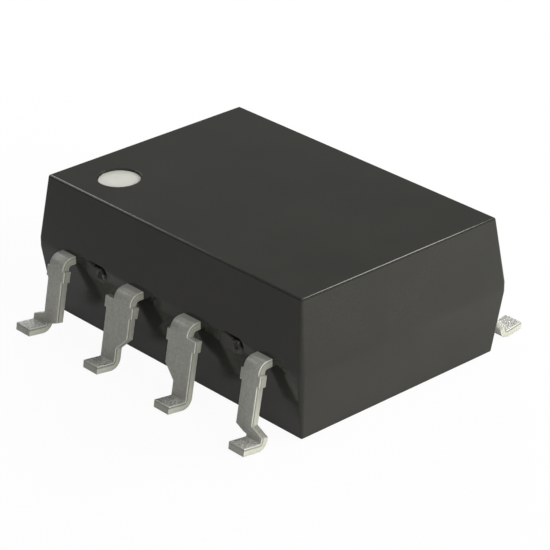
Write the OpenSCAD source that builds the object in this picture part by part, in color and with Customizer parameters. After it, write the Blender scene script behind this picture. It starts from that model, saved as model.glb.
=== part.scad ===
// Two-channel optocoupler in an eight-lead gull-wing package.
// Emitter frames face detector frames inside two clear inner mouldings, and one black
// moulding encloses both channels.
// The origin is the centre of the footprint, on the board. +X runs along the lead rows from
// lead 1 to lead 4, +Y runs from leads 1-4 to leads 5-8, and +Z points away from the board.

/* [Body] */
// Length of the body at the parting band, along the lead rows
body_l = 9.23; // [9:0.01:11]
// Width of the body at the parting band, across the lead rows
body_w = 6.48; // [6:0.01:7.5]
// Height of the upper half, above the parting band
upper_h = 1.63; // [1.4:0.01:2.4]
// Height of the lower half, below the parting band
lower_h = 1.61; // [1.4:0.01:2.4]
// Height of the upright band where the mould halves meet
band_h = 0.24; // [0.22:0.01:0.4]
// Gap between the underside of the body and the board
standoff = 0.09; // [0.05:0.01:0.3]
// Draft of the side walls, in degrees
draft = 7; // [3:0.5:10]
// Rounding of the top and bottom edges
edge_r = 0.08; // [0.04:0.01:0.2]
// Rounding of the upright corners
corner_r = 0.12; // [0.05:0.01:0.3]

/* [Pin-one mark] */
// Diameter of the moulded recess
mark_d = 1.06; // [0.8:0.01:1.6]
// Depth of the moulded recess
mark_depth = 0.06; // [0.03:0.005:0.1]
// Distance of the mark from the end of the top face
mark_from_end = 1.28; // [1:0.01:1.6]
// Distance of the mark from the side of the top face
mark_from_side = 1.14; // [1:0.01:1.6]
// Gap between the ink dot and the wall of the recess
ink_gap = 0.02; // [0.01:0.005:0.1]
// Thickness of the ink
ink_t = 0.015; // [0.01:0.005:0.03]

/* [Gate marks] */
// Half the distance between the two gate marks
gate_x = 2.39; // [2.2:0.01:2.5]
// Shift of both gate marks towards lead 1
gate_shift = 0.05; // [0:0.01:0.15]
// Distance of the gate marks below the middle of the leads
gate_drop = 0.03; // [0:0.01:0.12]
// Length of the recess round a gate
gate_l = 0.8; // [0.6:0.05:1]
// Height of the recess round a gate
gate_h = 0.4; // [0.3:0.02:0.5]
// Depth of the recess round a gate
gate_depth = 0.1; // [0.06:0.01:0.2]
// Length of the broken resin stub in the recess
stub_l = 0.52; // [0.4:0.02:0.56]
// Height of the broken resin stub
stub_h = 0.2; // [0.1:0.02:0.26]
// How far the thick end of the stub stands out of the floor of the recess
stub_out = 0.09; // [0.05:0.01:0.16]
// Slope of the broken face, in degrees
stub_slope = 7; // [0:1:8]

/* [Leads] */
// Distance between neighbouring leads
lead_spacing = 2.54; // [2.5:0.01:2.6]
// Thickness of the lead strip
lead_t = 0.2; // [0.15:0.01:0.21]
// Straight length of a lead between the body and its first bend
shoulder_out = 0.13; // [0.1:0.01:0.4]
// Inside radius of the bends
bend_r = 0.08; // [0.05:0.01:0.2]
// Lean of a leg away from upright, in degrees
leg_lean = 10.5; // [0:0.5:15]
// Lift of a toe above the board, in degrees
toe_lift = 8; // [0:0.5:10]
// Flat length of a foot
foot_l = 0.42; // [0.3:0.01:0.9]
// Width of a foot
foot_w = 0.5; // [0.4:0.01:0.6]

/* [Lead outline] */
// Distance from the middle of the row to where an inner lead leaves the body
inner_exit_x = 1; // [0.9:0.01:1.1]
// Width of an inner lead where it leaves the body
inner_neck_w = 0.59; // [0.5:0.01:0.64]
// Width of an inner leg, from the outer edge of its foot
inner_leg_w = 0.835; // [0.75:0.005:0.9]
// Height of the narrow part of an inner leg, along the leg
taper_base = 0.54; // [0.45:0.01:0.7]
// Height of the taper above it
taper_h = 0.33; // [0.2:0.01:0.4]
// Distance from the middle of the row to where an outer lead leaves the body
outer_exit_x = 3.44; // [3.4:0.01:3.5]
// Width of an outer lead where it leaves the body, and of its leg
outer_neck_w = 0.5; // [0.4:0.01:0.56]
// Height along the leg where the inner edge of an outer lead comes down to its foot
jog_base = 0.22; // [0.2:0.01:0.3]
// Height of the sideways jog of an outer lead
jog_h = 0.15; // [0.1:0.01:0.25]
// How much higher the jog is on the outer edge of an outer lead
jog_shift = 0.11; // [0.05:0.01:0.2]
// Distance of the tie-bar stubs below the top of the bend, along the leg
ear_drop = 0.27; // [0.2:0.01:0.35]
// Height of the tie-bar stubs
ear_h = 0.28; // [0.2:0.01:0.35]
// How far the tie-bar stubs stand out of the leg
ear_out = 0.07; // [0.03:0.01:0.12]

/* [Inner frames] */
// Height of the chip pads above or below the leads
pad_offset = 0.55; // [0.5:0.01:0.65]
// Slope of the strip between a lead and its pad, in degrees
set_angle = 45; // [30:1:60]
// Inside radius of the bends at that slope
set_r = 0.1; // [0.05:0.01:0.15]
// How far inside the inner moulding a pad lead turns to its pad
arm_in = 0.15; // [0.05:0.01:0.3]
// Distance from that turn to the first bend, across the lead rows
arm_l = 0.6; // [0.4:0.01:0.7]
// Width of a chip pad
pad_w = 1; // [0.9:0.02:1.1]
// How far a chip pad reaches past the middle of the body
pad_over = 0.5; // [0.46:0.01:0.6]
// Gap between a chip pad and the bond post beside it
post_gap = 0.2; // [0.15:0.01:0.25]
// Length of the wide end of a bond post
post_l = 0.9; // [0.7:0.02:1]
// How far a bond post reaches past the middle of the body
post_over = 0.3; // [0.2:0.01:0.4]

/* [Chips] */
// Side of an emitter chip
emitter_s = 0.3; // [0.2:0.01:0.36]
// Thickness of an emitter chip
emitter_h = 0.2; // [0.12:0.01:0.22]
// Side of a detector chip
detector_s = 0.7; // [0.5:0.02:0.76]
// Thickness of a detector chip
detector_h = 0.22; // [0.15:0.01:0.25]
// Thickness of the adhesive under a chip
attach_t = 0.02; // [0.01:0.005:0.04]
// How far the adhesive shows round a chip
attach_rim = 0.04; // [0.02:0.01:0.06]
// Radius of the gel dome over an emitter chip
gel_r = 0.42; // [0.38:0.01:0.46]
// Diameter of the bond wires
wire_d = 0.03; // [0.02:0.005:0.05]
// Height of a wire loop above the line between its ends
wire_loop = 0.28; // [0.2:0.01:0.3]
// Distance of a wire's bond from the edge of its post
post_bond = 0.25; // [0.15:0.01:0.3]

/* [Inner mouldings] */
// Width of an inner moulding at the leads, across the lead rows
core_w = 4.4; // [4:0.05:4.8]
// Thickness of its end walls, beside the leads
core_wall = 0.235; // [0.2:0.005:0.35]
// Thickness over and under the frames
core_cover = 0.35; // [0.2:0.01:0.5]
// Draft of its walls, in degrees
core_draft = 10; // [3:0.5:12]

/* [Hidden] */

$fn = 48;
hull_fn = 32;
wire_sides = 8;
wire_spans = 12;
// Reach of a cut past what it cuts
spare = 1;

// Heights above the board
band_z = standoff + lower_h;
top_z = band_z + band_h + upper_h;
lead_z = band_z + (band_h - lead_t) / 2;
middle_z = lead_z + lead_t / 2;
gate_z = middle_z - gate_drop;

// Half sizes of the top and bottom faces, out to where the drafted walls would meet them
top_half_l = body_l / 2 - upper_h * tan(draft);
top_half_w = body_w / 2 - upper_h * tan(draft);
bottom_half_l = body_l / 2 - lower_h * tan(draft);
bottom_half_w = body_w / 2 - lower_h * tan(draft);

// Course of a lead outside the body, with the outside of its heel on the board
bend_out = bend_r + lead_t;
shoulder_y = body_w / 2 + shoulder_out;
// Middle of the wall between the inner mouldings and the outside, where a lead's neck starts
wall_y = (core_w + body_w) / 4;
leg_turn = 90 - leg_lean;
leg_l = (lead_z - bend_r + (bend_out + bend_r) * sin(leg_lean) - bend_out) / cos(leg_lean);
leg_front_y = shoulder_y + bend_out * cos(leg_lean);
leg_front_z = lead_z - bend_r + bend_out * sin(leg_lean);
leg_root_y = leg_front_y + leg_front_z * tan(leg_lean);
leg_top = (lead_z + lead_t) / cos(leg_lean);
ear_top = leg_top - ear_drop;

// Inner mouldings and the course of a lead inside them, from its flat strip to its pad or post
channel_x = (outer_exit_x + inner_exit_x) / 2;
core_l = outer_exit_x - inner_exit_x + max(outer_neck_w, inner_neck_w) + 2 * core_wall;
core_rise = pad_offset + core_cover;
arm_y = core_w / 2 - arm_in;
set_y = arm_y - arm_l;
set_mid_r = set_r + lead_t / 2;
set_l = (pad_offset - 2 * set_mid_r * (1 - cos(set_angle))) / sin(set_angle);
face_gap = 2 * pad_offset - lead_t;
bond_x = pad_w / 2 + post_gap + post_bond;

function is_outer(pin) = pin % 4 < 2;
function exit_x(outer) = outer ? outer_exit_x : inner_exit_x;
function neck_w(outer) = outer ? outer_neck_w : inner_neck_w;
function channel_middle(channel) = channel == 1 ? -channel_x : channel_x;
function channel_pins(channel) = channel == 1 ? [1, 2, 7, 8] : [3, 4, 5, 6];

// Outline of a lead outside the body, in the plane of its leg, as [x, height along the leg]
function lead_outline(outer) =
    let (
        foot_x = lead_spacing * (outer ? 1.5 : 0.5),
        foot = [foot_x - foot_w / 2, foot_x + foot_w / 2],
        neck = [exit_x(outer) - neck_w(outer) / 2, exit_x(outer) + neck_w(outer) / 2],
        leg = outer ? neck : [foot[1] - inner_leg_w, foot[1]],
        ear = [leg[0] - ear_out, leg[1] + ear_out],
        ear_base = ear_top - ear_h,
        low = -spare,
        high = leg_top + spare,
        outer_edge = outer
            ? [[foot[1], jog_base + jog_shift], [leg[1], jog_base + jog_shift + jog_h]]
            : [],
        inner_edge = outer
            ? [[leg[0], jog_base + jog_h], [foot[0], jog_base]]
            : [[leg[0], taper_base + taper_h], [foot[0], taper_base]]
    )
    concat(
        [[foot[0], low], [foot[1], low]],
        outer_edge,
        [[leg[1], ear_base], [ear[1], ear_base], [ear[1], ear_top], [neck[1], ear_top]],
        [[neck[1], high], [neck[0], high]],
        [[neck[0], ear_top], [ear[0], ear_top], [ear[0], ear_base], [leg[0], ear_base]],
        inner_edge
    );

// Plan of the strip inside the body, as [distance from the channel's middle, distance from
// the body's middle], with the exit at exit_u. A pad lead turns to a pad over the middle,
// and a post lead runs straight in and widens towards the pad.
function pad_plan(exit_u, width) = [
    [exit_u - width / 2, body_w / 2],
    [exit_u + width / 2, body_w / 2],
    [exit_u + width / 2, exit_u > 0 ? arm_y - width / 2 : arm_y],
    [pad_w / 2, set_y],
    [pad_w / 2, -pad_over],
    [-pad_w / 2, -pad_over],
    [-pad_w / 2, set_y],
    [exit_u - width / 2, exit_u > 0 ? arm_y : arm_y - width / 2],
];
function post_plan(exit_u, width) =
    let (
        side = exit_u > 0 ? 1 : -1,
        outer_u = exit_u + side * width / 2,
        inner_u = exit_u - side * width / 2,
        flag_u = side * (pad_w / 2 + post_gap)
    )
    [
        [outer_u, body_w / 2],
        [outer_u, -post_over],
        [flag_u, -post_over],
        [flag_u, post_l - post_over],
        [inner_u, post_l - post_over],
        [inner_u, body_w / 2],
    ];

module flip_x(on) {
    if (on) mirror([1, 0, 0]) children();
    else children();
}

module flip_y(on) {
    if (on) mirror([0, 1, 0]) children();
    else children();
}

// A bend of the strip from the origin, up for a positive turn and down for a negative one
module strip_bend(turn, radius) {
    start = turn > 0 ? -90 : 90 + turn;
    reach = 2 * (radius + lead_t);
    translate([0, turn > 0 ? lead_t + radius : -radius])
    intersection() {
        difference() {
            circle(r = radius + lead_t);
            circle(r = radius);
        }
        polygon([
            [0, 0],
            reach * [cos(start), sin(start)],
            reach * [cos(start + abs(turn) / 2), sin(start + abs(turn) / 2)],
            reach * [cos(start + abs(turn)), sin(start + abs(turn))],
        ]);
    }
}

// Middle of the strip on both sides of the joint between a straight length and a bend
module strip_joint() {
    translate([0, lead_t / 2]) square(lead_t / 2, center = true);
}

// Side view of a bent strip: each course is a straight length and the turn after it
module strip_profile(courses, radius, i = 0) {
    length = courses[i][0];
    turn = courses[i][1];
    centre = turn > 0 ? lead_t + radius : -radius;
    square([length, lead_t]);
    if (turn != 0) {
        translate([length, 0]) {
            strip_bend(turn, radius);
            strip_joint();
        }
        translate([length, centre]) rotate(turn) translate([0, -centre]) {
            strip_joint();
            strip_profile(courses, radius, i + 1);
        }
    }
}

// Turns a side view drawn as [distance from the body's middle, height] into a solid along X
module along_x(width) {
    rotate([90, 0, 90]) linear_extrude(width) children();
}

// Straight neck, shoulder bend, leg, heel bend and foot of a lead, at +X and +Y
module lead_outside(outer) {
    courses = [[shoulder_y - wall_y, -leg_turn], [leg_l, leg_turn + toe_lift], [foot_l, 0]];
    intersection() {
        along_x(body_l) translate([wall_y, lead_z]) strip_profile(courses, bend_r);
        translate([0, leg_root_y, 0]) rotate([90 + leg_lean, 0, 0])
            linear_extrude(2 * body_w, center = true) polygon(lead_outline(outer));
    }
}

// Inner end of a lead with its pad or post, back to where its neck leaves the body, in the
// channel at +X
module lead_inside(outer, has_pad, raised) {
    exit_u = exit_x(outer) - channel_x;
    turn = raised ? set_angle : -set_angle;
    courses = [[body_w / 2 - set_y, turn], [set_l, -turn], [set_y + pad_over, 0]];
    intersection() {
        along_x(body_l) translate([body_w / 2, lead_z]) mirror([1, 0])
            strip_profile(courses, set_r);
        translate([channel_x, 0, 0]) linear_extrude(top_z)
            polygon(has_pad ? pad_plan(exit_u, neck_w(outer)) : post_plan(exit_u, neck_w(outer)));
    }
}

// Places a lead of the +X, +Y quarter at the place of a pin
module at_pin(pin) {
    flip_x(pin <= 2 || pin >= 7) flip_y(pin <= 4) children();
}

// Part of a lead inside the body. Emitter pads are set up, and detector pads are set down.
module pin_inside(pin) {
    at_pin(pin) lead_inside(is_outer(pin), pin % 2 == 0, pin <= 4);
}

// Straight neck of a lead, long enough to pass from the inner moulding to the outside
module pin_neck(pin) {
    width = neck_w(is_outer(pin));
    at_pin(pin) translate([exit_x(is_outer(pin)) - width / 2, arm_y, lead_z])
        cube([width, body_w / 2 - arm_y + spare, lead_t]);
}

// Places a chip on the pad of its frame, with +Z towards the other frame and +X to its post
module at_emitter(channel) {
    translate([channel_middle(channel), 0, middle_z + face_gap / 2]) rotate([0, 180, 0]) children();
}

module at_detector(channel) {
    translate([channel_middle(channel), 0, middle_z - face_gap / 2]) children();
}

module attach(side) {
    rim_s = side + 2 * attach_rim;
    translate([0, 0, attach_t / 2]) cube([rim_s, rim_s, attach_t], center = true);
}

module chip(side, height) {
    translate([0, 0, attach_t + height / 2]) cube([side, side, height], center = true);
}

// Everything behind the face of a pad, as far as a chip's wire or gel could reach
module behind_pad() {
    translate([-bond_x, -bond_x, -spare]) cube([3 * bond_x, 2 * bond_x, spare]);
}

// Arched wire in the XZ plane, about the origin and half an angle each way from +Z
module wire_arch(radius, half) {
    points = [
        for (ring = [0:wire_spans], j = [0:wire_sides - 1])
            let (
                along = 90 + half - 2 * half * ring / wire_spans,
                round_it = 360 * j / wire_sides,
                reach = radius + cos(round_it) * wire_d / 2
            )
            [reach * cos(along), sin(round_it) * wire_d / 2, reach * sin(along)]
    ];
    ends = [
        [for (j = [0:wire_sides - 1]) j],
        [for (j = [0:wire_sides - 1]) len(points) - 1 - j],
    ];
    sides = [
        for (ring = [0:wire_spans - 1], j = [0:wire_sides - 1])
            let (
                here = ring * wire_sides,
                next = here + wire_sides,
                k = (j + 1) % wire_sides
            )
            [here + k, here + j, next + j, next + k]
    ];
    polyhedron(points, concat(ends, sides));
}

// Wire from the top of a chip to its post, cut off flush at both
module wire(side, height) {
    rise = attach_t + height;
    chord = norm([bond_x, rise]);
    radius = (chord * chord / 4 + wire_loop * wire_loop) / (2 * wire_loop);
    half = asin(chord / (2 * radius)) + asin(2 * wire_d / radius);
    difference() {
        translate([bond_x / 2, 0, rise / 2]) rotate([0, atan2(rise, bond_x), 0])
            translate([0, 0, wire_loop - radius]) wire_arch(radius, half);
        chip(side, height);
        behind_pad();
    }
}

// Dome of gel over an emitter chip
module gel_dome() {
    difference() {
        sphere(r = gel_r);
        behind_pad();
    }
}

// Section of a block that is drafted up and down from an upright band
module drafted_section(half, slant, band, rise) {
    far = half - rise * tan(slant);
    high = band / 2 + rise;
    polygon([
        [half, -band / 2], [half, band / 2], [far, high], [-far, high],
        [-half, band / 2], [-half, -band / 2], [-far, -high], [far, -high],
    ]);
}

// Inner moulding of a channel, before the frames and chips are taken out of it
module core(channel) {
    translate([channel_middle(channel), 0, middle_z])
    intersection() {
        rotate([90, 0, 0]) linear_extrude(2 * core_w, center = true)
            drafted_section(core_l / 2, core_draft, lead_t, core_rise);
        rotate([90, 0, 90]) linear_extrude(2 * core_l, center = true)
            drafted_section(core_w / 2, core_draft, lead_t, core_rise);
    }
}

// The four corners of a rectangle
module at_corners(half_l, half_w, z) {
    for (x = [-half_l, half_l], y = [-half_w, half_w]) translate([x, y, z]) children();
}

// Outside of the moulded body, drafted both ways from its band
module shell() {
    hull() {
        at_corners(top_half_l - edge_r, top_half_w - edge_r, top_z - edge_r)
            sphere(edge_r, $fn = hull_fn);
        at_corners(body_l / 2 - corner_r, body_w / 2 - corner_r, band_z)
            cylinder(band_h, r = corner_r, $fn = hull_fn);
        at_corners(bottom_half_l - edge_r, bottom_half_w - edge_r, standoff + edge_r)
            sphere(edge_r, $fn = hull_fn);
    }
}

// Long round-ended block along X, standing on the XZ plane towards -Y
module lozenge(length, height, depth) {
    rotate([90, 0, 0]) linear_extrude(depth) {
        square([length - height, height], center = true);
        for (x = [height - length, length - height]) translate([x / 2, 0]) circle(d = height);
    }
}

// Recess where a runner was broken off, with its stub left standing
module gate_recess() {
    difference() {
        lozenge(gate_l, gate_h, gate_depth + spare);
        difference() {
            lozenge(stub_l, stub_h, stub_out);
            translate([stub_l / 2, -stub_out, 0]) rotate([0, 0, -stub_slope])
                translate([-2 * stub_l, -spare, -stub_h]) cube([3 * stub_l, spare, 2 * stub_h]);
        }
    }
}

module at_mark() {
    translate([mark_from_end - top_half_l, mark_from_side - top_half_w, top_z - mark_depth]) children();
}

// The sub-parts

module body() {
    color("#2f2f2d")
    difference() {
        shell();
        at_mark() cylinder(spare, d = mark_d);
        for (x = [-gate_x, gate_x]) translate([x - gate_shift, gate_depth - body_w / 2, gate_z])
            gate_recess();
        for (channel = [1, 2]) core(channel);
        for (pin = [1:8]) pin_neck(pin);
    }
}

module pin_1_dot() {
    color("#d6d7d1") at_mark() cylinder(ink_t, d = mark_d - 2 * ink_gap);
}

module lead(pin) {
    color("#a9aaa4") {
        at_pin(pin) lead_outside(is_outer(pin));
        pin_inside(pin);
    }
}

module inner_mould(channel) {
    color("#e4ddc4")
    difference() {
        core(channel);
        for (pin = channel_pins(channel)) pin_inside(pin);
        at_emitter(channel) {
            gel_dome();
            wire(emitter_s, emitter_h);
        }
        at_detector(channel) {
            attach(detector_s);
            chip(detector_s, detector_h);
            wire(detector_s, detector_h);
        }
    }
}

module emitter_chip(channel) {
    color("#6d5a66") at_emitter(channel) chip(emitter_s, emitter_h);
}

module emitter_attach(channel) {
    color("#b9b9b4") at_emitter(channel) attach(emitter_s);
}

module emitter_gel(channel) {
    color("#dfe6e8") at_emitter(channel)
    difference() {
        gel_dome();
        attach(emitter_s);
        chip(emitter_s, emitter_h);
        wire(emitter_s, emitter_h);
    }
}

module emitter_wire(channel) {
    color("#d8b04a") at_emitter(channel) wire(emitter_s, emitter_h);
}

module detector_chip(channel) {
    color("#53606e") at_detector(channel) chip(detector_s, detector_h);
}

module detector_attach(channel) {
    color("#b9b9b4") at_detector(channel) attach(detector_s);
}

module detector_wire(channel) {
    color("#d8b04a") at_detector(channel) wire(detector_s, detector_h);
}

body();
pin_1_dot();
for (pin = [1:8]) lead(pin);
for (channel = [1, 2]) {
    inner_mould(channel);
    emitter_chip(channel);
    emitter_attach(channel);
    emitter_gel(channel);
    emitter_wire(channel);
    detector_chip(channel);
    detector_attach(channel);
    detector_wire(channel);
}
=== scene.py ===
"""Finish of an eight-lead optocoupler, on the frame that its CAD model gives.

Sizes are in millimetres, as on a drawing, and MM turns them into Blender's metres.
"""

import math

import bmesh
import bpy
from mathutils import Matrix, Vector


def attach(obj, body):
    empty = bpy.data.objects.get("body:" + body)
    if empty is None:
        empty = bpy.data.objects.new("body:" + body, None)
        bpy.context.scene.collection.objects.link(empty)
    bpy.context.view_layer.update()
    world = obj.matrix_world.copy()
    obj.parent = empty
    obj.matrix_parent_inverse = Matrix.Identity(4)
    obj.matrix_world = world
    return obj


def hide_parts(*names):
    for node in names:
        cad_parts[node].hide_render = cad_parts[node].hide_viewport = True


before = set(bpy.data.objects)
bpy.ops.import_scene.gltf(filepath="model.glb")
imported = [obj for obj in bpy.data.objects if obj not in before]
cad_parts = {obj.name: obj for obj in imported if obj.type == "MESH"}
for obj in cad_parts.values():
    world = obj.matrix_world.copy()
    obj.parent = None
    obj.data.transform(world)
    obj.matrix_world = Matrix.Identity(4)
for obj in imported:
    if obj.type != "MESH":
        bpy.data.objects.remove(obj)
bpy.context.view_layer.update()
MM = 0.001

# Moulded body
BODY_L, BODY_W = 9.23, 6.48
STANDOFF, LOWER_H, BAND_H, UPPER_H = 0.09, 1.61, 0.24, 1.63
DRAFT = math.radians(7)
EDGE_R, CORNER_R = 0.062, 0.12
EDGE_STEPS, CORNER_STEPS = 8, 8
BAND_Z = STANDOFF + LOWER_H
TOP_Z = BAND_Z + BAND_H + UPPER_H

# Pin-one mark
MARK_R, MARK_DEPTH = 0.53, 0.06
MARK_X = 1.28 - BODY_L / 2 + UPPER_H * math.tan(DRAFT)
MARK_Y = 1.14 - BODY_W / 2 + UPPER_H * math.tan(DRAFT)
INK_R, INK_T = 0.51, 0.015
ROUND_STEPS = 96

# Gate marks
GATE_PLACES = (-2.44, 2.34)
GATE_L, GATE_H, GATE_DEPTH = 0.8, 0.4, 0.1
GATE_Z = 1.79

# Rounding inside and at the rims of the marks
RIM_R, MARK_FILLET, GATE_FILLET = 0.012, 0.012, 0.03

# Lead strip and its bends
LEAD_T, LEAD_Z = 0.2, 1.72
LEAD_SPACING = 2.54
BEND_R = 0.08
LEAN, TOE_LIFT = math.radians(10.5), math.radians(8)
LEG_TURN = math.pi / 2 - LEAN
HEEL_TURN = LEG_TURN + TOE_LIFT
SHOULDER_Y = BODY_W / 2 + 0.13
BEND_OUT = BEND_R + LEAD_T
LEG_L = (LEAD_Z - BEND_R + (BEND_OUT + BEND_R) * math.sin(LEAN) - BEND_OUT) / math.cos(LEAN)
LEG_HIGH = (LEAD_Z - BEND_R + BEND_OUT * math.sin(LEAN)) / math.cos(LEAN)
FOOT_L, FOOT_W = 0.42, 0.5
SET_Y, SET_TURN, SET_R = 1.45, math.radians(45), 0.1
PAD_OFFSET = 0.55
EDGE_ROLL, HEEL_CREASE = 0.018, 0.85
BEND_STEPS, SET_STEPS = 12, 6

# Stamped outline of the strip: where it leaves the body, and heights along the leg
OUTER_EXIT_X, OUTER_NECK_W = 3.44, 0.5
INNER_EXIT_X, INNER_NECK_W = 1.0, 0.59
INNER_LEG_W = 0.835
EAR_OUT, EAR_DROP, EAR_H = 0.07, 0.27, 0.28
JOG_FAR_EDGE, JOG_NEAR_EDGE = (0.33, 0.48), (0.37, 0.22)
TAPER_NEAR_EDGE = 0.87, 0.54
CHANNEL_X, ARM_Y = 2.22, 2.05
PAD_HALF = 0.5
POST_REACH, POST_TIP, POST_ROOT = 0.7, 0.3, 0.6

# Where the developed strip bends, along its length
BEND_MID = BEND_R + LEAD_T / 2
SET_MID = SET_R + LEAD_T / 2
LEG_START = SHOULDER_Y + BEND_MID * LEG_TURN
HEEL_START = LEG_START + LEG_L
FOOT_START = HEEL_START + BEND_MID * HEEL_TURN
TOE_END = FOOT_START + FOOT_L
SET_L = (PAD_OFFSET - 2 * SET_MID * (1 - math.cos(SET_TURN))) / math.sin(SET_TURN)
SET_FAR = SET_MID * SET_TURN + SET_L
PAD_START = SET_Y - SET_FAR - SET_MID * SET_TURN
PAD_START_Y = SET_Y - 2 * SET_MID * math.sin(SET_TURN) - SET_L * math.cos(SET_TURN)

# Studio: how much of the floor and the world is plain white to the camera or to reflections
FLOOR_HALF, LAMP_DISTANCE = 400, 70
FLOOR_WHITE, FLOOR_EVEN = 0.95, 0.72
GLOSSY_FLOOR, GLOSSY_WORLD = 0.4, 0.225
FLOOR_FALL, FALL_START, FALL_END = 0.35, 4.5, 9
CONTACT_REACH = 0.25
AMBIENT = 0.1


class Socket:
    """An output in a node tree. Sums on it add Math nodes, and node() adds any other node."""

    def __init__(self, tree, socket=None):
        self.tree = tree
        self.socket = socket

    def node(self, kind, inputs=(), output=0, **settings):
        made = self.tree.nodes.new(kind)
        for name, value in settings.items():
            setattr(made, name, value)
        for place, value in dict(inputs).items():
            if isinstance(value, Socket):
                self.tree.links.new(value.socket, made.inputs[place])
            else:
                made.inputs[place].default_value = value
        return Socket(self.tree, made.outputs[output]) if made.outputs else made

    def out(self, name):
        return Socket(self.tree, self.socket.node.outputs[name])

    def math(self, operation, *values):
        return self.node("ShaderNodeMath", enumerate(values), operation=operation)

    def __add__(self, other):
        return self.math("ADD", self, other)

    def __radd__(self, other):
        return self.math("ADD", other, self)

    def __sub__(self, other):
        return self.math("SUBTRACT", self, other)

    def __rsub__(self, other):
        return self.math("SUBTRACT", other, self)

    def __mul__(self, other):
        return self.math("MULTIPLY", self, other)

    def __rmul__(self, other):
        return self.math("MULTIPLY", other, self)

    def __truediv__(self, other):
        return self.math("DIVIDE", self, other)

    def __rtruediv__(self, other):
        return self.math("DIVIDE", other, self)

    def __pow__(self, other):
        return self.math("POWER", self, other)

    def sin(self):
        return self.math("SINE", self)

    def cos(self):
        return self.math("COSINE", self)

    def size(self):
        return self.math("ABSOLUTE", self)

    def at_least(self, other):
        return self.math("MAXIMUM", self, other)

    def at_most(self, other):
        return self.math("MINIMUM", self, other)

    def step(self, low, high):
        """0 below low and 1 above high, with a soft rise between them."""
        return self.node(
            "ShaderNodeMapRange",
            {"Value": self, "From Min": low, "From Max": high},
            interpolation_type="SMOOTHSTEP",
        )

    def blend(self, first, second):
        """The first colour where this is 0, and the second where it is 1."""
        return self.node("ShaderNodeMix", {0: self, 6: first, 7: second}, 2, data_type="RGBA")


def paint(red, green, blue):
    """A colour from display levels of 0 to 255."""
    levels = (red / 255, green / 255, blue / 255)
    return *((v / 12.92 if v <= 0.04045 else ((v + 0.055) / 1.055) ** 2.4) for v in levels), 1.0


def finish(name, fixed, varied):
    """A material whose shader has fixed values on its sockets and worked-out ones linked to them."""
    material = bpy.data.materials.new(name)
    material.use_nodes = True
    tree = material.node_tree
    shader = tree.nodes["Principled BSDF"]
    for socket, value in fixed.items():
        shader.inputs[socket].default_value = value
    for socket, source in varied(Socket(tree)).items():
        tree.links.new(source.socket, shader.inputs[socket])
    return material


def noise(place, scale, detail=2.0, roughness=0.5):
    return place.node(
        "ShaderNodeTexNoise",
        {"Vector": place, "Scale": scale, "Detail": detail, "Roughness": roughness},
        "Fac",
    )


def object_place(start):
    return start.node("ShaderNodeTexCoord", output="Object")


def bump(height, strength, distance):
    return height.node(
        "ShaderNodeBump", {"Height": height, "Strength": strength, "Distance": distance}
    )


# Finishes


def resin_look(start):
    place = object_place(start)
    cloud = noise(place, 700.0, 3.0)
    grain = noise(place, 24000.0, 2.0, 0.6)
    tone = (cloud * 0.55 + grain * 0.45).step(0.3, 0.7)
    return {
        "Base Color": tone.blend(paint(35, 35, 31.5), paint(39.5, 39.5, 36)),
        "Roughness": 0.09 + 0.04 * cloud + 0.03 * grain,
        "Normal": bump(grain, 0.2, 1e-6),
    }


def broken_resin_look(start):
    place = object_place(start)
    grain = noise(place, 30000.0, 3.0, 0.65)
    # Above 0 this marks pale fresh fracture, broken into painted glints; below 0 it marks the deep
    # crevices, which get painted shade
    fresh_glint_and_shade = start.node("ShaderNodeAttribute", output="Fac", attribute_name="fresh_glint_and_shade")
    dull = grain.step(0.3, 0.7).blend(paint(44, 44, 41), paint(64, 64, 60))
    # 0 in the deep crevices, which are painted near-black: painted shade
    dark = fresh_glint_and_shade.step(-1.0, 0.0)
    return {
        "Base Color": fresh_glint_and_shade.at_least(0).blend(dark.blend(paint(8, 8, 7), dull), paint(120, 120, 116)),
        "Roughness": 0.25 + 0.15 * grain + 0.5 * (1 - dark),
        "Normal": bump(grain, 0.5, 2e-6),
    }


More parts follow.
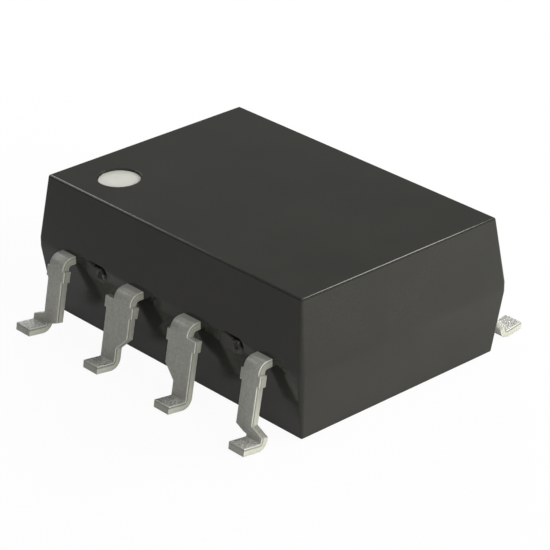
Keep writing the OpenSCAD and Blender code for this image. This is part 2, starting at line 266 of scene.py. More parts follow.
def tinned_look(start):
    strip = start.node("ShaderNodeUVMap", uv_map="strip")
    along = strip.node("ShaderNodeMapping", {"Vector": strip, "Scale": (46.0, 2.2, 1.0)})
    across = strip.node("ShaderNodeMapping", {"Vector": strip, "Scale": (34.0, 9.0, 1.0)})
    sheared = start.node("ShaderNodeAttribute", output="Fac", attribute_name="sheared")
    rolled_edge_highlight = start.node("ShaderNodeAttribute", output="Fac", attribute_name="rolled_edge_highlight")
    # The punch leaves a smooth darker band on the cut next to the broad face that it met first
    burnished = strip.node("ShaderNodeSeparateXYZ", {0: strip}).out("Y").step(0.125, 0.15)
    place = object_place(start)
    streak = noise(along, 1.0, 3.0, 0.6)
    tear = noise(across, 1.0, 3.0, 0.6)
    mottle = noise(place, 14000.0, 3.0, 0.6)
    grain = noise(place, 30000.0, 2.0, 0.5).step(0.35, 0.65)
    broad = (streak * 0.6 + mottle * 0.4).step(0.25, 0.75) * 0.65 + grain * 0.35
    cut = (tear * 0.5 + mottle * 0.5).step(0.25, 0.75)
    broad_colour = broad.blend(paint(152, 153, 146), paint(198, 199, 192))
    # The torn cut faces are painted paler towards the feet: painted bounce light from the floor
    height = place.node("ShaderNodeSeparateXYZ", {0: place}).out("Z")
    painted_floor_light = 1 - height.step(0.3 * MM, 1.4 * MM)
    upper_cut = cut.blend(paint(146, 148, 139), paint(164, 166, 157))
    floor_lit_cut = cut.blend(paint(174, 176, 166), paint(194, 196, 186))
    torn_colour = painted_floor_light.blend(upper_cut, floor_lit_cut)
    smooth_colour = cut.blend(paint(126, 128, 120), paint(142, 144, 136))
    cut_colour = burnished.blend(torn_colour, smooth_colour)
    # Tops that face up by the body, where the leads leave it, are painted paler: a painted highlight
    # from light above
    facing = start.node("ShaderNodeNewGeometry", output="Normal")
    level = facing.node("ShaderNodeSeparateXYZ", {0: facing}).out("Z").step(0.9, 0.975)
    by_the_body = height.step(1.5 * MM, 1.7 * MM)
    painted_top_light = by_the_body * level
    broad_colour = painted_top_light.blend(broad_colour, paint(206, 207, 201))
    flat_colour = sheared.blend(broad_colour, cut_colour)
    # The press flattens the tin on the feet into coarse grains, and the tops that face up are painted
    # bright: a painted sparkle from light above
    by_the_board = 1 - height.step(0.4 * MM, 0.6 * MM)
    pressed_and_sparkle = by_the_board * level
    grain_sparkle_colour = grain.blend(paint(154, 155, 150), paint(222, 223, 219))
    flat_colour = pressed_and_sparkle.blend(flat_colour, grain_sparkle_colour)
    texture = streak * (1 - sheared) * 0.4 + mottle + 2.0 * pressed_and_sparkle * grain
    return {
        # The rounded edges are painted pale: a painted highlight along them
        "Base Color": rolled_edge_highlight.blend(flat_colour, paint(208, 209, 201)),
        "Metallic": 0.56 - 0.31 * sheared - 0.13 * pressed_and_sparkle,
        "Roughness": 0.38 + 0.14 * broad + 0.02 * sheared - 0.1 * pressed_and_sparkle,
        "Normal": bump(texture, 1.0, 4.5e-6),
    }


def ink_look(start):
    place = object_place(start)
    cloud = noise(place, 5000.0, 3.0)
    grain = noise(place, 40000.0, 2.0)
    uneven = (cloud * 0.5 + grain * 0.5).step(0.3, 0.7)
    return {
        "Base Color": uneven.blend(paint(180, 181, 175), paint(190, 191, 185)),
        "Roughness": 0.5 + 0.15 * grain,
        "Normal": bump(grain, 0.4, 2e-6),
    }


def speckled(dark, light, scale, low, high):
    """A look with a fine speckle between two colours and two roughnesses."""

    def look(start):
        speck = noise(object_place(start), scale, 3.0).step(0.3, 0.7)
        return {"Base Color": speck.blend(dark, light), "Roughness": low + (high - low) * speck}

    return look


black_resin = finish("black_resin", {"IOR": 1.5}, resin_look)
broken_resin = finish("broken_black_resin", {"IOR": 1.5}, broken_resin_look)
tinned_lead = finish("tinned_lead", {}, tinned_look)
white_ink = finish("white_ink", {}, ink_look)
clear_resin = finish(
    "clear_inner_resin",
    {"IOR": 1.52, "Transmission Weight": 0.6},
    speckled((0.75, 0.70, 0.55, 1), (0.85, 0.80, 0.66, 1), 6000.0, 0.25, 0.4),
)
clear_gel = finish(
    "clear_gel",
    {"IOR": 1.41, "Transmission Weight": 0.8},
    speckled((0.78, 0.83, 0.86, 1), (0.88, 0.92, 0.94, 1), 9000.0, 0.05, 0.15),
)
emitter_crystal = finish(
    "emitter_crystal",
    {"IOR": 3.0},
    speckled((0.13, 0.09, 0.12, 1), (0.20, 0.14, 0.17, 1), 30000.0, 0.2, 0.35),
)
silicon = finish(
    "silicon",
    {"IOR": 3.4},
    speckled((0.07, 0.10, 0.14, 1), (0.12, 0.15, 0.19, 1), 30000.0, 0.12, 0.25),
)
silver_adhesive = finish(
    "silver_adhesive",
    {"Metallic": 0.7},
    speckled((0.42, 0.42, 0.41, 1), (0.60, 0.60, 0.58, 1), 40000.0, 0.45, 0.65),
)
gold_wire = finish(
    "gold_wire",
    {"Metallic": 1.0},
    speckled((0.86, 0.60, 0.22, 1), (0.95, 0.70, 0.30, 1), 30000.0, 0.15, 0.3),
)


# Meshes


def to_object(name, mesh):
    piece = bpy.data.objects.new(name, mesh)
    bpy.context.scene.collection.objects.link(piece)
    return piece


def settle(piece):
    """Turns what a piece's modifiers make into its plain mesh."""
    graph = bpy.context.evaluated_depsgraph_get()
    made = bpy.data.meshes.new_from_object(piece.evaluated_get(graph))
    piece.modifiers.clear()
    piece.data = made


def smooth(mesh, sharp_above):
    for face in mesh.polygons:
        face.use_smooth = True
    mesh.set_sharp_from_angle(angle=math.radians(sharp_above))


def weigh_normals(piece):
    """Keeps broad faces flat, with the turn of the shading in the rounded edges."""
    weigh = piece.modifiers.new("flat faces", "WEIGHTED_NORMAL")
    weigh.keep_sharp = True
    weigh.weight = 100


def dress(piece, slot, *nodes):
    """Ties a piece to the body of the frame and to the nodes that it stands for; its material slot is
    not used.
    """
    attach(piece, "root")
    if nodes:
        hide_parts(*nodes)


def rounded_ring(half_l, half_w, radius, z, steps):
    """Points round a rectangle with rounded corners."""
    ring = []
    for quarter, (x, y) in enumerate(((1, 1), (-1, 1), (-1, -1), (1, -1))):
        for i in range(steps + 1):
            angle = math.pi / 2 * (quarter + i / steps)
            ring.append(
                (
                    x * (half_l - radius) + radius * math.cos(angle),
                    y * (half_w - radius) + radius * math.sin(angle),
                    z,
                )
            )
    return ring


def loft(rings):
    """A closed mesh through rings of as many points each, from the lowest to the highest."""
    mesh = bmesh.new()
    rows = [[mesh.verts.new(Vector(p) * MM) for p in ring] for ring in rings]
    count = len(rows[0])
    for low, high in zip(rows, rows[1:]):
        for i in range(count):
            j = (i + 1) % count
            mesh.faces.new((low[i], low[j], high[j], high[i]))
    mesh.faces.new(rows[0][::-1])
    mesh.faces.new(rows[-1])
    bmesh.ops.remove_doubles(mesh, verts=mesh.verts, dist=1e-8)
    bmesh.ops.recalc_face_normals(mesh, faces=mesh.faces)
    return mesh


def moulded_shell():
    """Outside of the body: walls drafted up and down from the band, with rounded edges."""
    inset = UPPER_H * math.tan(DRAFT) + EDGE_R
    drop = LOWER_H * math.tan(DRAFT) + EDGE_R

    def arc(level, lean_in, height):
        """Insets, corner radii and heights round an edge, from its wall to its flat face."""
        far = math.hypot(lean_in, height)
        tilt = math.acos(EDGE_R / far) - math.atan2(height, lean_in)
        for i in range(EDGE_STEPS + 1):
            turn = tilt + (math.pi / 2 - tilt) * i / EDGE_STEPS
            reach = max(EDGE_R * math.cos(turn), 1e-6)
            yield lean_in - reach, reach, level + EDGE_R * math.sin(turn)

    upper = list(arc(TOP_Z - EDGE_R, inset, UPPER_H - EDGE_R))
    lower = [
        (i, r, 2 * (STANDOFF + EDGE_R) - z)
        for i, r, z in arc(STANDOFF + EDGE_R, drop, LOWER_H - EDGE_R)
    ]
    levels = lower[::-1] + [(0, CORNER_R, BAND_Z), (0, CORNER_R, BAND_Z + BAND_H)] + upper
    return loft(
        [rounded_ring(BODY_L / 2 - i, BODY_W / 2 - i, r, z, CORNER_STEPS) for i, r, z in levels]
    )


def prism(outline, place, depth, fillet):
    """A cutter: an outline as [along, up] pushed to a depth, with a rounded end."""
    mesh = bmesh.new()
    face = mesh.faces.new([mesh.verts.new((u, v, 0)) for u, v in outline])
    pushed = bmesh.ops.extrude_face_region(mesh, geom=[face])["geom"]
    ends = [v for v in pushed if isinstance(v, bmesh.types.BMVert)]
    bmesh.ops.translate(mesh, verts=ends, vec=(0, 0, depth))
    bmesh.ops.recalc_face_normals(mesh, faces=mesh.faces)
    floor = [e for e in mesh.edges if all(abs(v.co.z) < 1e-9 for v in e.verts)]
    bmesh.ops.bevel(
        mesh, geom=floor, offset=fillet, segments=3, profile=0.5, affect="EDGES"
    )
    mesh.transform(place)
    made = bpy.data.meshes.new("cutter")
    mesh.to_mesh(made)
    mesh.free()
    return to_object("cutter", made)


def lozenge(length, height, steps=20):
    straight, radius = (length - height) / 2, height / 2
    return [
        (
            side * straight + radius * math.cos(math.pi * (i / steps - 0.5 * side)),
            radius * math.sin(math.pi * (i / steps - 0.5 * side)),
        )
        for side in (1, -1)
        for i in range(steps + 1)
    ]


def make_body():
    mesh = moulded_shell()
    made = bpy.data.meshes.new("moulded_body")
    mesh.to_mesh(made)
    mesh.free()
    body = to_object("moulded_body", made)
    turns = [math.tau * i / ROUND_STEPS for i in range(ROUND_STEPS)]
    circle = [(MARK_R * math.cos(turn), MARK_R * math.sin(turn)) for turn in turns]
    scale = Matrix.Scale(MM, 4)
    place = Matrix.Translation((MARK_X, MARK_Y, TOP_Z - MARK_DEPTH))
    cutters = [prism(circle, scale @ place, 1, MARK_FILLET)]
    for x in GATE_PLACES:
        place = Matrix.Translation((x, GATE_DEPTH - BODY_W / 2, GATE_Z))
        turn = Matrix.Rotation(math.pi / 2, 4, "X")
        cutters.append(prism(lozenge(GATE_L, GATE_H), scale @ place @ turn, 1, GATE_FILLET))
    for cutter in cutters:
        cut = body.modifiers.new("cut", "BOOLEAN")
        cut.operation = "DIFFERENCE"
        cut.solver = "EXACT"
        cut.object = cutter
    settle(body)
    for cutter in cutters:
        bpy.data.objects.remove(cutter)
    mesh = bmesh.new()
    mesh.from_mesh(body.data)
    bmesh.ops.remove_doubles(mesh, verts=mesh.verts, dist=1e-8)
    mark = Vector((MARK_X, MARK_Y)) * MM

    def on_rim(vert):
        """On the outer rim of the pin-one recess or of a gate recess."""
        on_mark = abs((vert.co.xy - mark).length - MARK_R * MM) < 1e-6
        if on_mark and abs(vert.co.z - TOP_Z * MM) < 1e-6:
            return True
        x, y, z = vert.co / MM
        for gate_x in GATE_PLACES:
            past = max(abs(x - gate_x) - (GATE_L - GATE_H) / 2, 0)
            on_gate = abs(math.hypot(past, z - GATE_Z) - GATE_H / 2) < 1e-3
            if on_gate and y < GATE_DEPTH / 2 - BODY_W / 2:
                return True
        return False

    rim = [e for e in mesh.edges if all(on_rim(v) for v in e.verts)]
    bmesh.ops.bevel(mesh, geom=rim, offset=RIM_R * MM, segments=3, profile=0.5, affect="EDGES")
    mesh.to_mesh(body.data)
    mesh.free()
    smooth(body.data, 35)
    weigh_normals(body)
    settle(body)
    body.data.materials.clear()
    body.data.materials.append(black_resin)
    dress(body, "black_resin", "body")


def make_ink_dot():
    """The ink lies a little uneven, and thins at its edge."""
    floor = TOP_Z - MARK_DEPTH
    # Shares of the ink's radius and of its thickness, from its rim in to its middle
    profile = ((1.0, 0.0), (1.0, 0.5), (0.985, 0.85), (0.96, 1.0), (0.6, 0.97), (0.2, 0.96))
    rings = []
    for share, height in profile:
        ring = []
        for i in range(ROUND_STEPS):
            angle = math.tau * i / ROUND_STEPS
            wobble = 0.004 * math.sin(3 * angle + 0.6) + 0.003 * math.sin(7 * angle + 2.0)
            reach = INK_R * share * (1 - 0.006 + wobble)
            ring.append(
                (
                    MARK_X + reach * math.cos(angle),
                    MARK_Y + reach * math.sin(angle),
                    floor + INK_T * height,
                )
            )
        rings.append(ring)
    mesh = loft(rings)
    made = bpy.data.meshes.new("ink_dot")
    mesh.to_mesh(made)
    mesh.free()
    smooth(made, 50)
    made.materials.append(white_ink)
    dress(to_object("ink_dot", made), "white_ink", "pin_1_dot")


# Leads: flat stamped blanks, bent by one forming tree


def leg_place(height):
    """Place along the developed strip of a height along the leg."""
    return LEG_START + LEG_HIGH - height


def blank_outline(outer, has_pad):
    """Outline of a flat blank in the quarter at +X and +Y, as [x, place along the strip]."""
    foot_x = LEAD_SPACING * (1.5 if outer else 0.5)
    exit_x, neck_w = (OUTER_EXIT_X, OUTER_NECK_W) if outer else (INNER_EXIT_X, INNER_NECK_W)
    foot = foot_x - FOOT_W / 2, foot_x + FOOT_W / 2
    neck = exit_x - neck_w / 2, exit_x + neck_w / 2
    leg = neck if outer else (foot[1] - INNER_LEG_W, foot[1])
    ear = leg[0] - EAR_OUT, leg[1] + EAR_OUT
    ear_top = (LEAD_Z + LEAD_T) / math.cos(LEAN) - EAR_DROP
    high, low = leg_place(ear_top), leg_place(ear_top - EAR_H)
    far_edge = []
    if outer:
        low_end, high_end = JOG_FAR_EDGE
        far_edge = [(foot[1], leg_place(low_end)), (leg[1], leg_place(high_end))]
    high_end, low_end = JOG_NEAR_EDGE if outer else TAPER_NEAR_EDGE
    near_edge = [(leg[0], leg_place(high_end)), (foot[0], leg_place(low_end))]
    side = 1 if exit_x > CHANNEL_X else -1
    middle = PAD_START - PAD_START_Y
    if has_pad:
        tip, turns = middle - PAD_HALF, (ARM_Y - neck_w / 2, ARM_Y)[::side]
        inside = [
            (neck[1], turns[0]),
            (CHANNEL_X + PAD_HALF, SET_Y),
            (CHANNEL_X + PAD_HALF, tip),
            (CHANNEL_X - PAD_HALF, tip),
            (CHANNEL_X - PAD_HALF, SET_Y),
            (neck[0], turns[1]),
        ]
    else:
        flag = CHANNEL_X + side * POST_REACH
        near, far = (middle - POST_TIP, middle + POST_ROOT)[::side]
        inside = [(neck[1], near), (flag, near), (flag, far), (neck[0], far)]
    return (
        [(foot[0], TOE_END), (foot[1], TOE_END)]
        + far_edge
        + [(leg[1], low), (ear[1], low), (ear[1], high), (neck[1], high)]
        + inside
        + [(neck[0], high), (ear[0], high), (ear[0], low), (leg[0], low)]
        + near_edge
    )


def lead_blank(outer, has_pad):
    """A stamped blank with rounded edges, which carry a painted highlight, cut across where the strip
    will bend.
    """
    mesh = bmesh.new()
    face = mesh.faces.new([mesh.verts.new((x, s, 0)) for x, s in blank_outline(outer, has_pad)])
    pushed = bmesh.ops.extrude_face_region(mesh, geom=[face])["geom"]
    upper = [v for v in pushed if isinstance(v, bmesh.types.BMVert)]
    bmesh.ops.translate(mesh, verts=upper, vec=(0, 0, LEAD_T))
    bmesh.ops.recalc_face_normals(mesh, faces=mesh.faces)
    rims = [e for e in mesh.edges if abs(e.verts[0].co.z - e.verts[1].co.z) < 1e-9]
    bmesh.ops.bevel(mesh, geom=rims, offset=EDGE_ROLL, segments=2, profile=0.5, affect="EDGES")
    bends = (
        (SHOULDER_Y, LEG_START, BEND_STEPS),
        (HEEL_START, FOOT_START, BEND_STEPS),
        (SET_Y, SET_Y - SET_MID * SET_TURN, SET_STEPS),
        (SET_Y - SET_FAR, PAD_START, SET_STEPS),
    )
    for first, last, steps in bends:
        for i in range(steps + 1):
            bmesh.ops.bisect_plane(
                mesh,
                geom=mesh.verts[:] + mesh.edges[:] + mesh.faces[:],
                plane_co=(0, first + (last - first) * i / steps, 0),
                plane_no=(0, 1, 0),
            )
    sheared = mesh.faces.layers.float.new("sheared")
    rolled_edge_highlight = mesh.faces.layers.float.new("rolled_edge_highlight")
    strip = mesh.loops.layers.uv.new("strip")
    for face in mesh.faces:
        cut = abs(face.normal.z) < 0.9
        across = abs(face.normal.y) > abs(face.normal.x)
        face[sheared] = (0.3 if across else 1.0) if cut else 0.0
        # Rounded edge faces, which the finish paints pale as a painted highlight
        face[rolled_edge_highlight] = float(0.2 < abs(face.normal.z) < 0.98)
        for loop in face.loops:
            x, s, z = loop.vert.co
            loop[strip].uv = (x if across else s, z) if cut else (x, s)
    made = bpy.data.meshes.new("lead_blank")
    mesh.to_mesh(made)
    mesh.free()
    smooth(made, 40)
    return made


def press_bend(along, level, start, turn, radius, thickness, crease=0.0):
    """Bends the strip past start towards its lower face, whose corner is pushed in by crease."""
    middle = radius + thickness / 2
    arc = ((along - start) / middle).at_least(0).at_most(turn)
    past = (along - start - middle * turn).at_least(0)
    corner = 1 / arc.at_most(turn - arc).cos() - 1
    reach = level + radius + crease * radius * corner * (1 - level / thickness)
    bent_along = along.at_most(start) + reach * arc.sin() + past * arc.cos()
    bent_level = reach * arc.cos() - past * arc.sin() - radius
    return bent_along, bent_level


def forming_tree():
    """Bends a flat blank into a lead: its heel, its shoulder and the two bends to its pad."""
    tree = bpy.data.node_groups.new("formed_lead", "GeometryNodeTree")
    sockets = {"Blank": "Geometry"}
    sizes = (
        "Thickness", "Bend Radius", "Shoulder", "Leg Turn", "Heel", "Heel Turn",
        "Heel Crease", "Set Radius", "Set Start", "Set Far", "Set Turn", "Set Side", "Height",
        "End Side", "Row Side", "Unit",
    )
    sockets.update({name: "Float" for name in sizes})
    sockets.update({"Mirrored": "Bool", "Finish": "Material"})
    for name, kind in sockets.items():
        tree.interface.new_socket(name, in_out="INPUT", socket_type="NodeSocket" + kind)
    tree.interface.new_socket("Lead", in_out="OUTPUT", socket_type="NodeSocketGeometry")
    given = Socket(tree).node("NodeGroupInput")
    size = {name: given.out(name) for name in sizes}
    place = given.node("GeometryNodeInputPosition")
    flat = place.node("ShaderNodeSeparateXYZ", {0: place})
    thick, radius = size["Thickness"], size["Bend Radius"]

    def turn_over(level, side):
        """The level seen from the other face where side is 1."""
        return thick / 2 - (level - thick / 2) * side

    along, level = press_bend(
        flat.out("Y"),
        thick - flat.out("Z"),
        size["Heel"],
        size["Heel Turn"],
        radius,
        thick,
        size["Heel Crease"],
    )
    along, level = press_bend(
        along, thick - level, size["Shoulder"], size["Leg Turn"], radius, thick
    )
    inner, side = size["Set Radius"], size["Set Side"]
    along, level = press_bend(
        0 - along, turn_over(level, 0 - side), size["Set Far"], size["Set Turn"], inner, thick
    )
    level = turn_over(turn_over(level, 0 - side), side)
    along, level = press_bend(along, level, size["Set Start"], size["Set Turn"], inner, thick)
    level = turn_over(level, side)
    bent = place.node(
        "ShaderNodeCombineXYZ",
        {
            0: flat.out("X") * size["End Side"] * size["Unit"],
            1: (0 - along) * size["Row Side"] * size["Unit"],
            2: (level + size["Height"]) * size["Unit"],
        },
    )
    lead = place.node(
        "GeometryNodeSetPosition", {"Geometry": given.out("Blank"), "Position": bent}
    )
    lead = lead.node(
        "GeometryNodeFlipFaces", {"Mesh": lead, "Selection": given.out("Mirrored")}
    )
    lead = lead.node("GeometryNodeRealizeInstances", {0: lead})
    lead = lead.node(
        "GeometryNodeSetMaterial", {"Geometry": lead, "Material": given.out("Finish")}
    )
    lead.node("NodeGroupOutput", {"Lead": lead})
    return tree


def set_inputs(modifier, tree, values):
    """Sets a tree's named inputs on a modifier, by their identifiers."""
    modifier.node_group = tree
    for item in tree.interface.items_tree:
        if item.name in values:
            modifier[item.identifier] = values[item.name]


def make_leads():
    tree = forming_tree()
    blanks = {
        (outer, has_pad): lead_blank(outer, has_pad)
        for outer in (True, False)
        for has_pad in (True, False)
    }
    for pin in range(1, 9):
        outer, has_pad = pin % 4 < 2, pin % 2 == 0
        end_side = -1.0 if pin in (1, 2, 7, 8) else 1.0
        row_side = -1.0 if pin <= 4 else 1.0
        lead = to_object(f"formed_lead_{pin}", blanks[outer, has_pad].copy())
        forming = lead.modifiers.new("forming", "NODES")
        set_inputs(
            forming,
            tree,
            {
                "Thickness": LEAD_T,
                "Bend Radius": BEND_R,
                "Shoulder": SHOULDER_Y,
                "Leg Turn": LEG_TURN,
                "Heel": HEEL_START,
                "Heel Turn": HEEL_TURN,
                "Heel Crease": HEEL_CREASE,
                "Set Radius": SET_R,
                "Set Start": -SET_Y,
                "Set Far": SET_FAR - SET_Y,
                "Set Turn": SET_TURN,
                "Set Side": 1.0 if pin <= 4 else -1.0,
                "Height": LEAD_Z,
                "End Side": end_side,
                "Row Side": row_side,
                "Unit": MM,
                "Mirrored": end_side * row_side < 0,
                "Finish": tinned_lead,
            },
        )
        weigh_normals(lead)
        settle(lead)
        dress(lead, "tinned_lead", f"lead_{pin}")


# Gate stubs: what is left of a runner that was broken off


def broken_gate_tree():
    """Torn resin that fills a gate recess: a slope with a cup on it where the runner broke off."""
    tree = bpy.data.node_groups.new("broken_gate", "GeometryNodeTree")
    sizes = (
        "Length", "Height", "Fill", "Fall Along", "Fall Up", "Cup X", "Cup Z",
        "Cup Half Width", "Cup Half Height", "Cup Out", "Cup Depth",
        "Break Size", "Break Depth", "Seed", "X", "Y", "Z", "Unit",
    )
    sockets = {**{name: "Float" for name in sizes}, "Finish": "Material"}
    for name, kind in sockets.items():
        tree.interface.new_socket(name, in_out="INPUT", socket_type="NodeSocket" + kind)
    tree.interface.new_socket("Stub", in_out="OUTPUT", socket_type="NodeSocketGeometry")
    given = Socket(tree).node("NodeGroupInput")
    size = {name: given.out(name) for name in sizes}

    grid = given.node(
        "GeometryNodeMeshGrid", {"Size X": 2.0, "Size Y": 2.0, "Vertices X": 121, "Vertices Y": 81}
    )
    place = given.node("GeometryNodeInputPosition")
    share = place.node("ShaderNodeSeparateXYZ", {0: place})
    radius = size["Height"] / 2
    straight = size["Length"] / 2 - radius
    along = share.out("X") * size["Length"] / 2
    past = (along.size() - straight).at_least(0)
    up = share.out("Y") * (radius * radius - past * past).at_least(0) ** 0.5

    spot = place.node("ShaderNodeCombineXYZ", {0: along, 1: up, 2: size["Seed"]})
    jag = noise(spot, size["Break Size"], 3.0, 0.6) - 0.5
    # The break is almost flush at one corner of the recess and falls to its floor at the other
    toward = size["Fall Along"] * share.out("X") + size["Fall Up"] * up / radius
    slope = 1 - (toward + 0.7 * jag).step(0.2, 0.5)
    height = size["Fill"] * slope
    # A cup with a jagged rim stands where the runner tore off
    aside = (along - size["Cup X"]) / size["Cup Half Width"]
    above = (up - size["Cup Z"]) / size["Cup Half Height"]
    off = (aside ** 2 + above ** 2) ** 0.5 + jag * 0.8
    ring = 1 - off.step(0.92, 1.08)
    hollow = 1 - off.step(0.2, 0.8)
    cup = size["Cup Out"] * (1 + 0.5 * jag) * ring - size["Cup Depth"] * hollow
    inside = 1 - off.step(0.7, 0.85)
    height = height.at_least(cup) * (1 - inside) + cup * inside + jag * size["Break Depth"]
    # This mask breaks the pale fresh fracture on the cup's rim into spots: painted glints
    glint = noise(spot, size["Break Size"] * 0.55, 2.0, 0.5).step(0.5, 0.62)
    fresh_glint_and_shade = off.step(0.55, 0.8) * (1 - off.step(0.95, 1.1)) * glint
    # Deep points get a negative value, which the finish paints near-black: painted shade in the
    # crevices
    painted_crevice_shade = 1 - height.step(0.3 * size["Fill"], 0.7 * size["Fill"])
    fresh_glint_and_shade = fresh_glint_and_shade - painted_crevice_shade
    edge = share.out("X").size().at_least(share.out("Y").size())
    within = 1 - edge.step(0.985, 1.0)
    height = height.at_least(0.004) * within

    def at_height(level):
        return place.node(
            "ShaderNodeCombineXYZ",
            {
                0: (along + size["X"]) * size["Unit"],
                1: (size["Y"] - level) * size["Unit"],
                2: (up + size["Z"]) * size["Unit"],
            },
        )

    front = grid.node(
        "GeometryNodeStoreNamedAttribute", {"Geometry": grid, "Name": "fresh_glint_and_shade", "Value": fresh_glint_and_shade}
    )
    front = place.node("GeometryNodeSetPosition", {"Geometry": front, "Position": at_height(height)})
    back = place.node(
        "GeometryNodeSetPosition", {"Geometry": grid, "Position": at_height(-0.01 * within)}
    )
    back = back.node("GeometryNodeFlipFaces", {"Mesh": back})
    stub = front.node("GeometryNodeJoinGeometry", {0: front})
    tree.links.new(back.socket, stub.socket.node.inputs[0])
    stub = stub.node("GeometryNodeMergeByDistance", {"Geometry": stub, "Distance": 1e-9})
    stub = stub.node("GeometryNodeRealizeInstances", {0: stub})
    stub = stub.node(
        "GeometryNodeSetMaterial", {"Geometry": stub, "Material": given.out("Finish")}
    )
    stub.node("NodeGroupOutput", {"Stub": stub})
    return tree


def make_gate_stubs():
    tree = broken_gate_tree()
    sunk = 0.02
    for number, (x, seed) in enumerate(zip(GATE_PLACES, (3.7, 8.2)), 1):
        stub = to_object(f"gate_stub_{number}", bpy.data.meshes.new("gate_stub"))
        breaking = stub.modifiers.new("breaking", "NODES")
        set_inputs(
            breaking,
            tree,
            {
                "Length": GATE_L + 2 * sunk,
                "Height": GATE_H + 2 * sunk,
                "Fill": 0.085,
                "Fall Along": 0.5,
                "Fall Up": 0.8,
                "Cup X": 0.14,
                "Cup Z": -0.03,
                "Cup Half Width": 0.13,
                "Cup Half Height": 0.15,
                "Cup Out": 0.1,
                "Cup Depth": 0.05,
                "Break Size": 16.0,
                "Break Depth": 0.02,
                "Seed": seed,
                "X": x,
                "Y": GATE_DEPTH - BODY_W / 2,
                "Z": GATE_Z,
                "Unit": MM,
                "Finish": broken_resin,
            },
        )
        settle(stub)
        smooth(stub.data, 40)
        dress(stub, "black_resin")


def finish_inner_pieces():
    """Materials of the pieces inside the body, which stay as the CAD model has them."""
    kinds = {
        "inner_mould": clear_resin,
        "emitter_chip": emitter_crystal,
        "emitter_attach": silver_adhesive,
        "emitter_gel": clear_gel,
        "emitter_wire": gold_wire,
        "detector_chip": silicon,
        "detector_attach": silver_adhesive,
        "detector_wire": gold_wire,
    }
    for kind, material in kinds.items():
        for channel in (1, 2):
            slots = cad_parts[f"{kind}_{channel}"].data.materials
            slots.clear()
            slots.append(material)


# Studio


def make_floor():
    mesh = bmesh.new()
    bmesh.ops.create_grid(mesh, x_segments=1, y_segments=1, size=FLOOR_HALF * MM)
    made = bpy.data.meshes.new("floor")
    mesh.to_mesh(made)
    mesh.free()
    floor = to_object("floor", made)
    material = bpy.data.materials.new("pale_floor")
    material.use_nodes = True
    tree = material.node_tree
    shader = tree.nodes["Principled BSDF"]
    shader.inputs["Base Color"].default_value = (0.62, 0.62, 0.62, 1)
    shader.inputs["Roughness"].default_value = 0.9
    shader.inputs["Specular IOR Level"].default_value = 0.0
    start = Socket(tree)
    seen = start.node("ShaderNodeLightPath")
    clear = seen.out("Is Camera Ray").at_least(seen.out("Is Transmission Ray"))
    gloss = seen.out("Is Glossy Ray")
    near = start.node("ShaderNodeAmbientOcclusion", {"Distance": CONTACT_REACH * MM}, "AO")
    # Reflections meet a floor whose glow is painted a little darker to the front, away from the
    # lamps: painted shade
    place = object_place(start)
    front = 0 - place.node("ShaderNodeSeparateXYZ", {0: place}).out("Y")
    shaded_glow = GLOSSY_FLOOR * (1 - FLOOR_FALL * front.step(FALL_START * MM, FALL_END * MM))
    # Ambient occlusion darkens that glow near where parts meet the floor: a painted contact shadow
    strength = clear + gloss * shaded_glow * near
    white = start.node("ShaderNodeEmission", {"Color": (1, 1, 1, 1), "Strength": strength})
    own = Socket(tree, shader.outputs[0])
    share = clear * FLOOR_WHITE + gloss * FLOOR_EVEN
    mixed = start.node("ShaderNodeMixShader", {0: share, 1: own, 2: white})
    tree.links.new(mixed.socket, tree.nodes["Material Output"].inputs["Surface"])
    floor.data.materials.append(material)


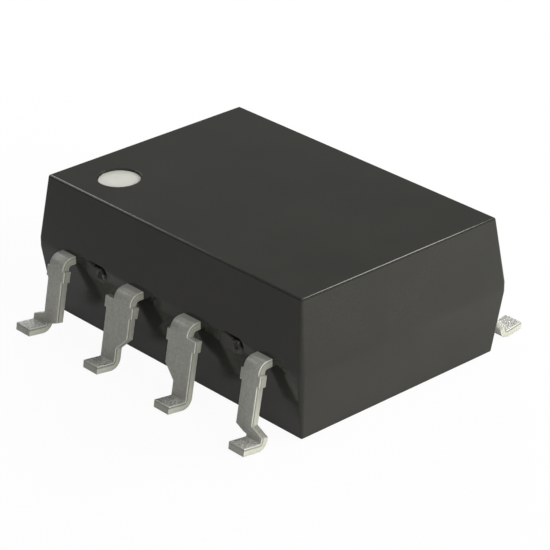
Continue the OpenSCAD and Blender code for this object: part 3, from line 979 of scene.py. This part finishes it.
def softbox(name, azimuth, elevation, width, height, radiance, colour, mirrored=False):
    """A lamp of a given radiance, off in a direction and turned to the body.

    The azimuth counts from +X towards +Y, and only a mirrored lamp shows in reflections.
    """
    lamp = bpy.data.lights.new(name, "AREA")
    lamp.shape = "RECTANGLE"
    lamp.size, lamp.size_y = width * MM, height * MM
    lamp.energy = radiance * math.pi * lamp.size * lamp.size_y
    lamp.color = colour
    holder = bpy.data.objects.new(name, lamp)
    bpy.context.scene.collection.objects.link(holder)
    holder.visible_glossy = mirrored
    turn, rise = math.radians(azimuth), math.radians(elevation)
    out = Vector(
        (math.cos(turn) * math.cos(rise), math.sin(turn) * math.cos(rise), math.sin(rise))
    )
    place = (Vector((0, 0, TOP_Z / 2)) + LAMP_DISTANCE * out) * MM
    holder.matrix_world = Matrix.Translation(place) @ out.to_track_quat("Z", "Y").to_matrix().to_4x4()


def make_world():
    world = bpy.data.worlds.new("studio")
    world.use_nodes = True
    bpy.context.scene.world = world
    tree = world.node_tree
    start = Socket(tree)
    seen = start.node("ShaderNodeLightPath")
    clear = seen.out("Is Camera Ray").at_least(seen.out("Is Transmission Ray"))
    strength = AMBIENT + (1 - AMBIENT) * clear + (GLOSSY_WORLD - AMBIENT) * seen.out("Is Glossy Ray")
    sky = tree.nodes["Background"]
    sky.inputs["Color"].default_value = (1, 1, 1, 1)
    tree.links.new(strength.socket, sky.inputs["Strength"])


def make_camera():
    """The photograph's viewpoint, for a square frame."""
    data = bpy.data.cameras.new("camera")
    data.sensor_width = 36
    data.lens = 175.406
    data.clip_start, data.clip_end = 0.001, 10
    camera = bpy.data.objects.new("camera", data)
    bpy.context.scene.collection.objects.link(camera)
    right = (0.674281, 0.738470, -0.002799)
    up = (-0.330640, 0.305285, 0.893016)
    back = (0.660320, -0.601218, 0.450016)
    place = Vector((41.82416, -37.877245, 29.938541)) * MM
    camera.matrix_world = Matrix.Translation(place) @ Matrix((right, up, back)).transposed().to_4x4()
    bpy.context.scene.camera = camera


make_body()
make_ink_dot()
make_leads()
make_gate_stubs()
finish_inner_pieces()
make_floor()
make_world()
make_camera()
softbox("key_right", 4, 14, 56, 24, 9.0, (1.0, 0.98, 0.93))
softbox("right_high", 0, 34, 26, 24, 11.5, (1.0, 0.98, 0.94))
softbox("right_back", 57, 24, 30, 30, 14.0, (1.0, 0.99, 0.95))
softbox("front_right", 318, 22, 14, 14, 16.0, (1.0, 0.99, 0.96))
softbox("back_high", 90, 51.7, 36, 13, 7.0, (1.0, 1.0, 0.98), mirrored=True)
softbox("back_left_high", 161, 34, 20, 20, 4.5, (1.0, 1.0, 0.98), mirrored=True)
softbox("left_low", 143, 11, 24, 14, 66.0, (0.99, 0.99, 1.0))
softbox("left_high", 198, 37, 24, 24, 1.5, (1.0, 1.0, 0.98), mirrored=True)

bpy.context.scene.view_settings.view_transform = "Standard"
